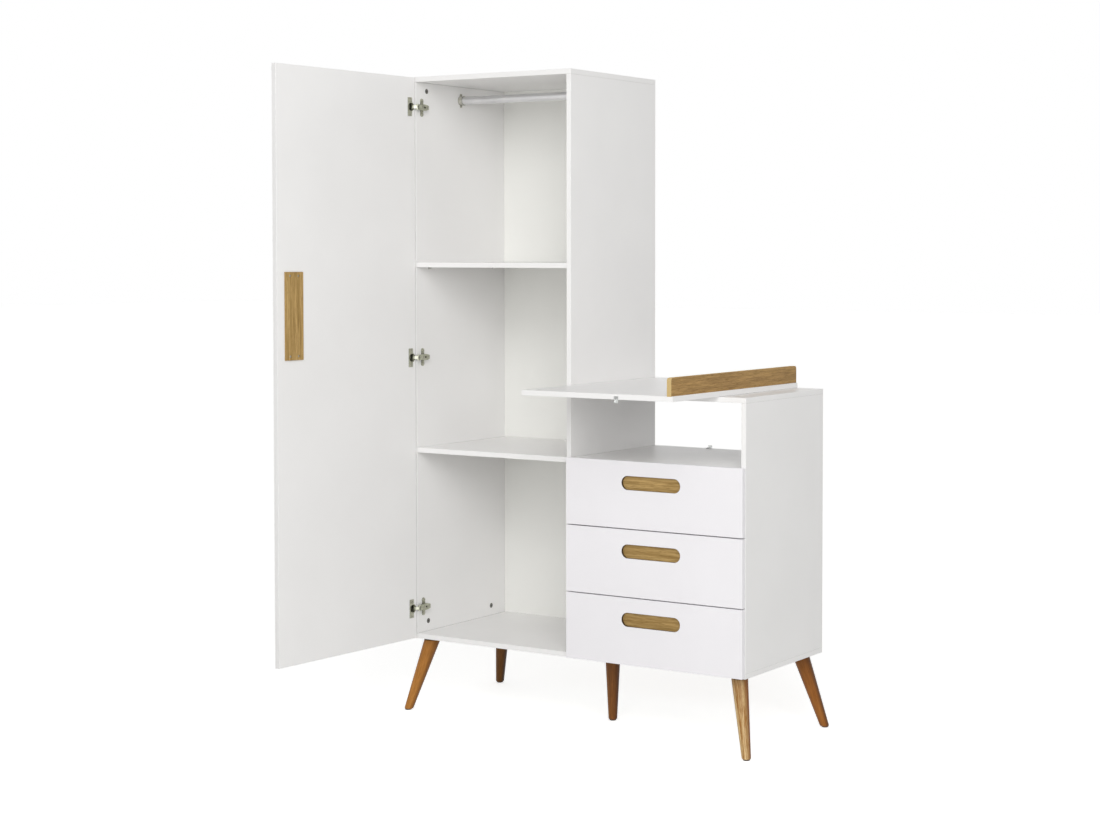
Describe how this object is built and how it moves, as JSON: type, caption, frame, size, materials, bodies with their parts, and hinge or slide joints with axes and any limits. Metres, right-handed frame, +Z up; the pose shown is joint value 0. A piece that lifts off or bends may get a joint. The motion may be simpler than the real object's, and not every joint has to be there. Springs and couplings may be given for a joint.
{
  "type": "chifforobe",
  "caption": "Wardrobe with a hinged door and a clothes rail beside a low dresser with drawers, an open compartment and an overhanging changing board, on splayed turned legs.",
  "frame": {"origin": "middle of the centre leg's sole, on the floor", "axes": "+X to the right along the front, the fronts face -Y, +Z up"},
  "size_m": [1.226, 1.0437, 1.93],
  "materials": {
    "white_lacquer": "satin white lacquer over fibreboard",
    "white_melamine": "matt white melamine on chipboard",
    "white_hardboard": "thin white-faced hardboard",
    "oak_veneer": "open-pored oak, matt varnish",
    "turned_wood": "turned solid wood, brown stain, satin varnish",
    "turned_wood_light": "turned solid wood, golden stain, satin varnish",
    "nickel_steel": "nickel-plated steel and die casting",
    "zinc_steel": "bright zinc-plated sheet steel",
    "zinc_casting": "dull zinc die casting",
    "screw_steel": "nickel-plated screw",
    "dark_chrome": "bright chrome plating",
    "rail_tube": "satin silver tube, anodised",
    "black_steel": "black coated steel plate",
    "dark_plastic": "dark brown plastic glide",
    "clear_plastic": "clear plastic"
  },
  "bodies": {
    "cabinet": {"arm_pins": "nickel_steel", "base_panel": "white_lacquer", "cabinet_runners": "zinc_steel", "cam_fittings": "zinc_casting", "carcass_screws": "screw_steel", "changing_board": "white_lacquer", "compartment_floor": "white_lacquer", "drawer_back": "white_hardboard", "dresser_top": "white_lacquer", "edge_clips": "clear_plastic", "guard_rail": "oak_veneer", "hanging_rail": "rail_tube", "hinge_arms": "nickel_steel", "hinge_plates": "nickel_steel", "left_side": "white_lacquer", "leg_centre": "turned_wood", "leg_front_left": "turned_wood", "leg_front_right": "turned_wood_light", "leg_glides": "dark_plastic", "leg_plates": "black_steel", "leg_rear_left": "turned_wood", "leg_rear_right": "turned_wood", "lower_shelf": "white_lacquer", "partition": "white_lacquer", "rail_sockets": "dark_chrome", "right_side": "white_lacquer", "shelf_supports": "nickel_steel", "upper_shelf": "white_lacquer", "wardrobe_back": "white_hardboard", "wardrobe_top": "white_lacquer"},
    "hinge_links": {"hinge_links": "nickel_steel"},
    "door": {"door_panel": "white_lacquer", "door_grip_plate": "oak_veneer", "hinge_cups": "nickel_steel", "cup_pins": "nickel_steel", "door_screws": "screw_steel"},
    "upper_drawer": {"upper_drawer_back": "white_melamine", "upper_drawer_bottom": "white_hardboard", "upper_drawer_front": "white_lacquer", "upper_drawer_grip_plate": "oak_veneer", "upper_drawer_plate_screws": "screw_steel", "upper_drawer_side_left": "white_melamine", "upper_drawer_side_right": "white_melamine", "upper_drawer_slides": "zinc_steel"},
    "middle_drawer": {"middle_drawer_back": "white_melamine", "middle_drawer_bottom": "white_hardboard", "middle_drawer_front": "white_lacquer", "middle_drawer_grip_plate": "oak_veneer", "middle_drawer_plate_screws": "screw_steel", "middle_drawer_side_left": "white_melamine", "middle_drawer_side_right": "white_melamine", "middle_drawer_slides": "zinc_steel"},
    "lower_drawer": {"lower_drawer_back": "white_melamine", "lower_drawer_bottom": "white_hardboard", "lower_drawer_front": "white_lacquer", "lower_drawer_grip_plate": "oak_veneer", "lower_drawer_plate_screws": "screw_steel", "lower_drawer_side_left": "white_melamine", "lower_drawer_side_right": "white_melamine", "lower_drawer_slides": "zinc_steel"}
  },
  "joints": [
    {"name": "link_swing", "type": "hinge", "parent": "cabinet", "child": "hinge_links", "pos_m": [-0.576, -0.202, 1.08], "axis": [0, 0, 1], "range_deg": [-41.01, 7.51]},
    {"name": "door_swing", "type": "hinge", "parent": "hinge_links", "child": "door", "pos_m": [-0.58755, -0.21005, 1.08], "axis": [0, 0, 1], "range_deg": [-24.5, 134]},
    {"name": "upper_drawer_slide", "type": "slide", "parent": "cabinet", "child": "upper_drawer", "axis": [0, -1, 0], "range_m": [0, 0.3]},
    {"name": "middle_drawer_slide", "type": "slide", "parent": "cabinet", "child": "middle_drawer", "axis": [0, -1, 0], "range_m": [0, 0.3]},
    {"name": "lower_drawer_slide", "type": "slide", "parent": "cabinet", "child": "lower_drawer", "axis": [0, -1, 0], "range_m": [0, 0.3]}
  ],
  "couplings": [
    {"joint": "link_swing", "follows": "door_swing", "ratio": -0.30597}
  ]
}
